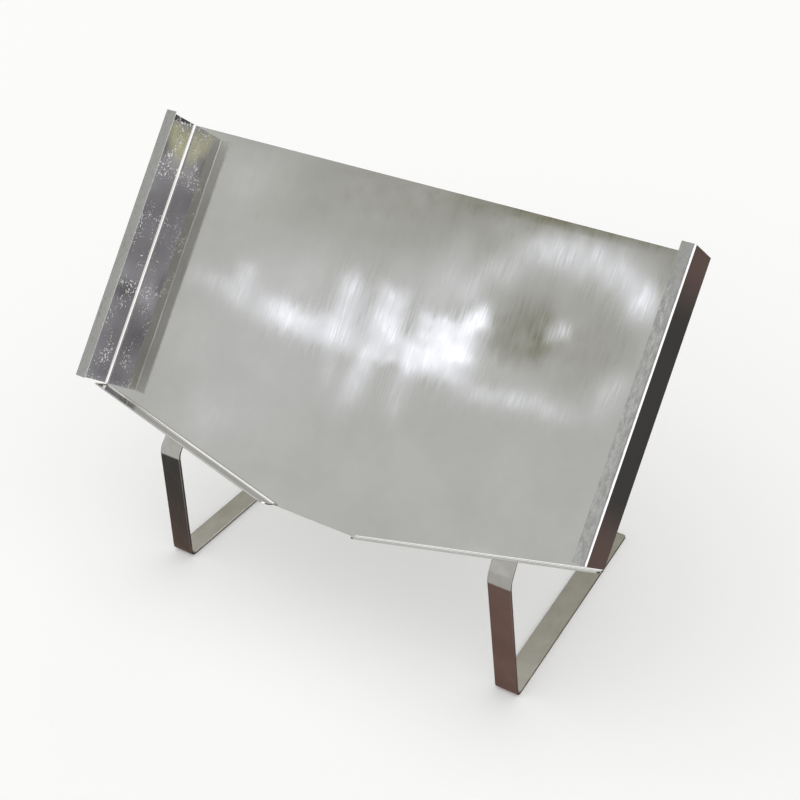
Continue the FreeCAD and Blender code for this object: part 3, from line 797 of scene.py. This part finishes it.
class CHUTE_OT_studio(bpy.types.Operator):
    """Set the pale floor, the soft light, the mirrored room and the camera"""

    bl_idname = "chute.studio"
    bl_label = "Studio"

    def execute(self, context):
        scene = context.scene
        studio = scene.chute_studio
        self.add_floor(scene, studio)
        self.add_camera(scene, studio)
        self.add_room(scene, studio, scene.chute_sizes)
        scene.view_settings.view_transform = "Standard"
        return {"FINISHED"}

    def add_floor(self, scene, studio):
        """A pale matt floor, which the polished metal doesn't mirror: it sees the room instead."""
        bm = bmesh.new()
        bmesh.ops.create_grid(bm, x_segments=1, y_segments=1, size=studio.floor_size / 2)
        mesh = bpy.data.meshes.new("floor")
        bm.to_mesh(mesh)
        bm.free()
        material, tree = new_material("pale_matt_floor")
        shader = add(tree, "BsdfDiffuse", {"Color": rgba(studio.floor_shade)})
        add(tree, "OutputMaterial", {"Surface": shader.outputs["BSDF"]})
        mesh.materials.append(material)
        floor = bpy.data.objects.new("floor", mesh)
        floor.visible_glossy = False
        scene.collection.objects.link(floor)

    def add_camera(self, scene, studio):
        data = bpy.data.cameras.new("camera")
        data.lens = studio.lens
        data.sensor_width = SENSOR_WIDTH
        data.shift_x, data.shift_y = FRAME_SHIFT
        camera = bpy.data.objects.new("camera", data)
        heading = Vector(studio.camera_heading).normalized()
        level = heading.to_track_quat("-Z", "Y").to_matrix().to_4x4()
        roll = Matrix.Rotation(studio.camera_roll, 4, "Z")
        camera.matrix_world = Matrix.Translation(studio.camera_place) @ level @ roll
        scene.collection.objects.link(camera)
        scene.camera = camera

    def add_room(self, scene, studio, sizes):
        """The room around the chute, plain for the eye and the floor, detailed for the metal."""
        world = bpy.data.worlds.new("studio_room")
        world.use_nodes = True
        tree = world.node_tree
        tree.nodes.clear()
        parts, across, along = self.directions(tree, studio, sizes)
        chart = add(tree, "CombineXYZ", (across, along)).outputs["Vector"]
        room = self.shades(tree, studio, parts, across, along, chart)
        glow = self.glows(tree, parts, chart)
        cool = add(tree, "VectorMath", (COOL, glow), operation="MULTIPLY").outputs[0]
        lit = add(tree, "VectorMath", (room, cool), operation="ADD").outputs[0]

        seen = add(tree, "LightPath").outputs["Is Glossy Ray"]
        plain = add(tree, "Background", (rgba(PLAIN_WHITE), 1.0)).outputs[0]
        mirrored = add(tree, "Background", (lit, 1.0)).outputs[0]
        mixed = add(tree, "MixShader", (seen, plain, mirrored)).outputs[0]
        add(tree, "OutputWorld", {"Surface": mixed})
        scene.world = world

    def directions(self, tree, studio, sizes):
        """Each direction in the tray's axes, and where the tray floor mirrors it for the camera."""
        camera = tray_place(sizes).inverted() @ Vector(studio.camera_place)
        height = camera.z - sizes.sheet_gauge
        direction = add(tree, "TexCoord").outputs["Generated"]
        turned = add(tree, "VectorRotate", {
            "Vector": direction, "Axis": (1, 0, 0), "Angle": -sizes.tray_tilt},
            rotation_type="AXIS_ANGLE").outputs["Vector"]
        parts = add(tree, "SeparateXYZ", (turned,)).outputs
        facing = add(tree, "Math", (parts["Z"], CHART_FACING), operation="MAXIMUM").outputs[0]
        places = []
        for part, start in ((parts["X"], camera.x), (parts["Y"], camera.y)):
            slope = add(tree, "Math", (part, facing), operation="DIVIDE").outputs[0]
            places.append(add(tree, "Math", (slope, height, start),
                              operation="MULTIPLY_ADD").outputs[0])
        return parts, *places

    def glows(self, tree, parts, chart):
        """The soft lights, drawn into streaks and clouds as hand polishing does."""
        laid = add(tree, "Mapping", {
            "Vector": chart, "Scale": (1 / STREAK[0], 1 / STREAK[1], 1)}).outputs["Vector"]
        streaky = add(tree, "TexNoise", {
            "Vector": laid, "Scale": 1.0, "Detail": 4.0, "Roughness": 0.65}).outputs
        drift = add(tree, "VectorMath", (streaky["Color"], (0.5, 0.5, 0.5)),
                    operation="SUBTRACT").outputs[0]
        drift = add(tree, "VectorMath", (drift, (*DRIFT, 0)), operation="MULTIPLY").outputs[0]
        chart = add(tree, "VectorMath", (chart, drift), operation="ADD").outputs[0]
        glow = 0.0
        for x, y, half_width, half_height, turn, rim, square, bright in GLOWS:
            spot = add(tree, "Mapping", {
                "Vector": chart, "Location": (x * MM, y * MM, 0),
                "Rotation": (0, 0, math.radians(turn)),
                "Scale": (half_width * MM, half_height * MM, 1)}, vector_type="TEXTURE").outputs[0]
            if square:
                spot = add(tree, "VectorMath", (spot,), operation="ABSOLUTE").outputs[0]
                sides = add(tree, "SeparateXYZ", (spot,)).outputs
                reach = add(tree, "Math", (sides["X"], sides["Y"]), operation="MAXIMUM").outputs[0]
            else:
                reach = add(tree, "VectorMath", (spot,), operation="LENGTH").outputs["Value"]
            soft = add(tree, "MapRange", (reach, 1 + rim / 3, 1 - rim, 0.0, bright),
                       interpolation_type="SMOOTHSTEP").outputs[0]
            glow = add(tree, "Math", (soft, glow), operation="ADD").outputs[0]
        patchy = add(tree, "TexNoise", {
            "Vector": chart, "Scale": 1 / CLOUD, "Detail": 6.0, "Roughness": 0.65}).outputs["Fac"]
        for value, low, high, contrast in ((streaky["Fac"], *NOISE_WIDE, STREAK_CONTRAST),
                                           (patchy, *NOISE_WIDE, CLOUD_CONTRAST),
                                           (parts["Z"], *GLOW_FACING, (0.0, 1.0))):
            share = add(tree, "MapRange", (value, low, high, *contrast)).outputs[0]
            glow = add(tree, "Math", (glow, share), operation="MULTIPLY").outputs[0]
        return glow

    def shades(self, tree, studio, parts, across, along, chart):
        """The room's broad light and dark areas."""
        measured = {"x": parts["X"], "y": parts["Y"], "z": parts["Z"], "across": across,
                    "along": along}
        for name, value, middle in (("from middle", parts["Y"], MIDDLE_Y),
                                    ("off square", parts["Y"], 0.0),
                                    ("from arm", across, LAMP[0])):
            away = add(tree, "Math", (value, middle), operation="SUBTRACT").outputs[0]
            measured[name] = add(tree, "Math", (away,), operation="ABSOLUTE").outputs[0]
        slant = add(tree, "Math", (measured["from arm"], -LAMP_SLANT, along),
                    operation="MULTIPLY_ADD").outputs[0]
        away = add(tree, "Math", (slant, LAMP[1]), operation="SUBTRACT").outputs[0]
        measured["from lamp"] = add(tree, "Math", (away,), operation="ABSOLUTE").outputs[0]

        area = {}
        for name, edges in AREAS.items():
            area[name] = 1.0
            for measure, begins, full in edges:
                edge = add(tree, "MapRange", (measured[measure], begins, full, 0.0, 1.0),
                           interpolation_type="SMOOTHSTEP").outputs[0]
                area[name] = add(tree, "Math", (area[name], edge),
                                 operation="MULTIPLY").outputs[0]

        white, dark = rgba(BRIGHT), rgba(studio.room_dark)
        blotches = add(tree, "TexNoise", {
            "Vector": chart, "Scale": 1 / BLOTCH, "Detail": 4.0}).outputs["Fac"]
        blotches = add(tree, "MapRange", (blotches, *BLOTCHES)).outputs[0]
        dim = paint(tree, rgba(studio.room_violet), ((blotches, dark),))
        room = paint(tree, rgba(studio.room_grey), (
            (area["dim side"], dim), (area["lamp"], rgba(studio.room_lamp)),
            (area["far window"], white), (area["back window"], white)))

        unshaded = add(tree, "Math", (1.0, area["shaded"]), operation="SUBTRACT").outputs[0]
        ahead = add(tree, "Math", (area["ahead"], unshaded), operation="MULTIPLY").outputs[0]
        below = add(tree, "Math", (area["below"], BELOW_SHARE), operation="MULTIPLY").outputs[0]
        brown = add(tree, "Math", (below, ahead), operation="MAXIMUM").outputs[0]
        return paint(tree, dark, (
            (brown, rgba(studio.room_brown)), (area["behind"], rgba(studio.room_olive)),
            (area["side window"], white), (area["above"], room)))


# ---------------------------------------------------------------- panel, register and run

STEPS = (CHUTE_OT_tray, CHUTE_OT_legs, CHUTE_OT_welds, CHUTE_OT_studio)


class CHUTE_PT_panel(bpy.types.Panel):
    """Buttons that build the chute, one for each group of pieces"""

    bl_idname = "CHUTE_PT_panel"
    bl_label = "Steel Discharge Chute"
    bl_space_type = "VIEW_3D"
    bl_region_type = "UI"
    bl_category = "Chute"

    def draw(self, context):
        column = self.layout.column()
        for step in STEPS:
            column.operator(step.bl_idname)


CLASSES = (ChuteSizes, ChuteFinish, ChuteStudio, *STEPS, CHUTE_PT_panel)


def register():
    for item in CLASSES:
        bpy.utils.register_class(item)
    bpy.types.Scene.chute_sizes = PointerProperty(type=ChuteSizes)
    bpy.types.Scene.chute_finish = PointerProperty(type=ChuteFinish)
    bpy.types.Scene.chute_studio = PointerProperty(type=ChuteStudio)


def unregister():
    del bpy.types.Scene.chute_studio
    del bpy.types.Scene.chute_finish
    del bpy.types.Scene.chute_sizes
    for item in reversed(CLASSES):
        bpy.utils.unregister_class(item)


def main():
    register()
    bpy.ops.chute.tray()
    bpy.ops.chute.legs()
    bpy.ops.chute.welds()
    bpy.ops.chute.studio()


if __name__ == "__main__":
    main()
